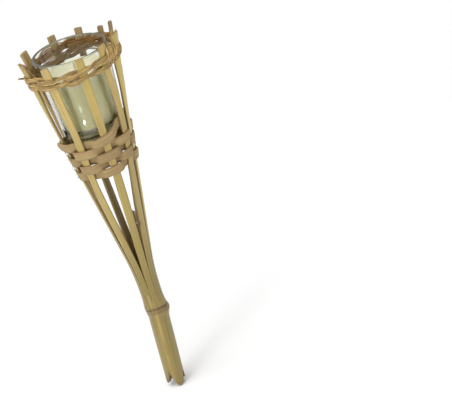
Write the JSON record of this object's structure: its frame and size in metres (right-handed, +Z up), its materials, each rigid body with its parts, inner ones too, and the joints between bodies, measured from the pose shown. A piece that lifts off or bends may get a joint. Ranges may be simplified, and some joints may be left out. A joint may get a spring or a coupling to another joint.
{
  "type": "tiki torch",
  "caption": "Small bamboo garden torch: a split and splayed culm, woven into a basket that holds a glass cup and a candle, with a pronged stake end.",
  "frame": {"origin": "on the stake's axis at the soil line, the top end of the stake's plain round wall just under the node ring, where the basket's axis meets the stake's axis", "axes": "+Z up along the basket's axis; -Y is the front, where the widest middle stave shows; +X is to the right seen from the front"},
  "size_m": [0.0887, 0.089, 0.3584],
  "materials": {
    "bamboo": "satin natural bamboo skin, olive tan",
    "splint": "matte split bamboo strip",
    "vine": "matte peeled vine",
    "glass": "clear moulded glass",
    "wax": "candle wax, soft satin",
    "cotton": "braided cotton",
    "tin": "plain tinned steel"
  },
  "bodies": {
    "torch": {"culm": "bamboo", "stave_01": "bamboo", "stave_02": "bamboo", "stave_03": "bamboo", "stave_04": "bamboo", "stave_05": "bamboo", "stave_06": "bamboo", "stave_07": "bamboo", "stave_08": "bamboo", "stave_09": "bamboo", "stave_10": "bamboo", "weave_row_01": "splint", "weave_row_02": "splint", "weave_row_03": "splint", "weave_row_04": "splint", "weave_row_05": "splint", "twine_upper_a": "vine", "twine_upper_b": "vine", "twine_lower_a": "vine", "twine_lower_b": "vine"},
    "glass": {"glass_cup": "glass"},
    "candle": {"candle": "wax", "wick": "cotton", "wick_tab": "tin"}
  },
  "joints": [
    {"name": "glass_lift", "type": "slide", "parent": "torch", "child": "glass", "axis": [0, 0, 1], "range_m": [0, 0.1]},
    {"name": "candle_lift", "type": "slide", "parent": "glass", "child": "candle", "axis": [0, 0, 1], "range_m": [0, 0.08]}
  ]
}
